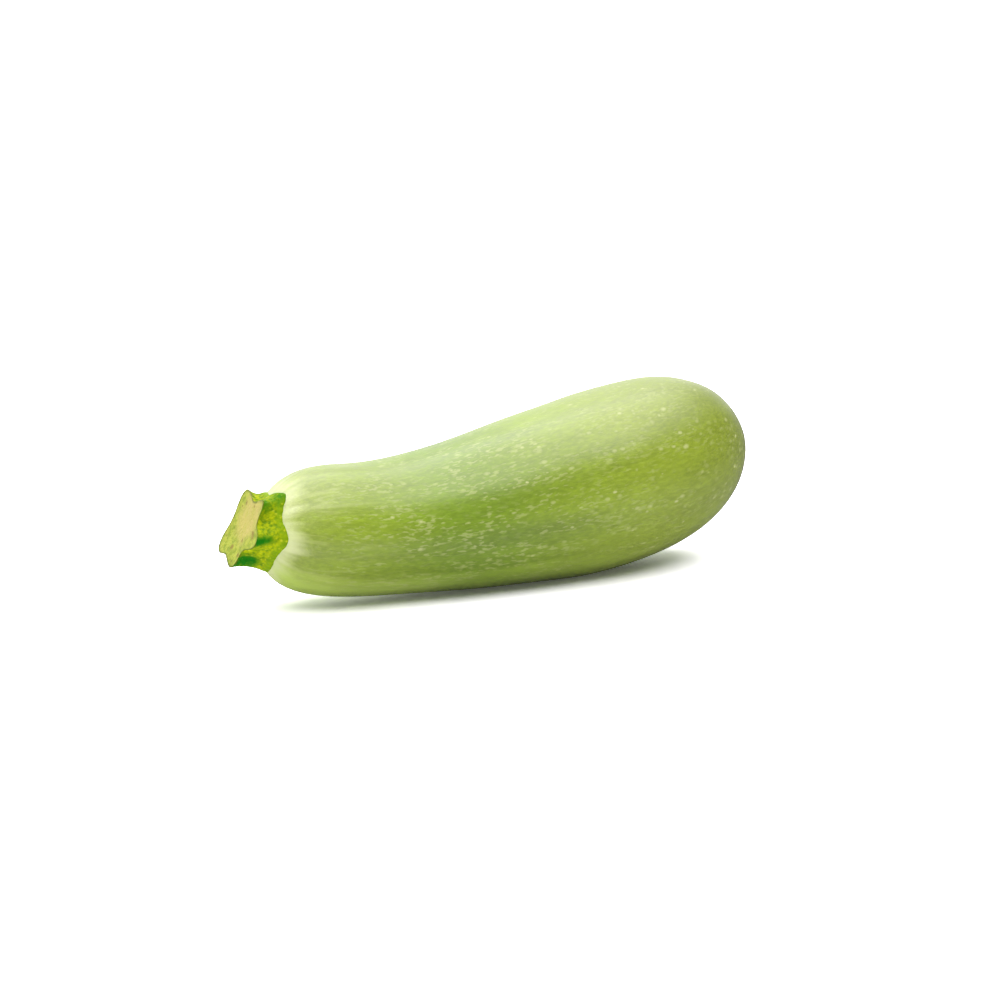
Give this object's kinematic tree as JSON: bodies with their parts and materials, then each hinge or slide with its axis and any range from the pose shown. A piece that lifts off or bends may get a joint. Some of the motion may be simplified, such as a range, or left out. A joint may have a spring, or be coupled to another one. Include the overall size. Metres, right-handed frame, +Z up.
{
  "type": "baby zucchini",
  "caption": "Small pale green zucchini as picked, bowed and lying on its side, with a narrow neck, a fuller blossom end and a ridged stub of cut stem.",
  "frame": {"origin": "on the small flat under the belly that the fruit rests on", "axes": "+X from the stem end to the blossom end, +Z up, bowed towards -Y"},
  "size_m": [0.1334, 0.0422, 0.0429],
  "materials": {
    "skin": "satin, waxy, pale green with paler flecks",
    "stem": "matte, ribbed green with a dry tan cut"
  },
  "bodies": {
    "root": {"fruit": "skin", "stem": "stem"}
  },
  "joints": []
}
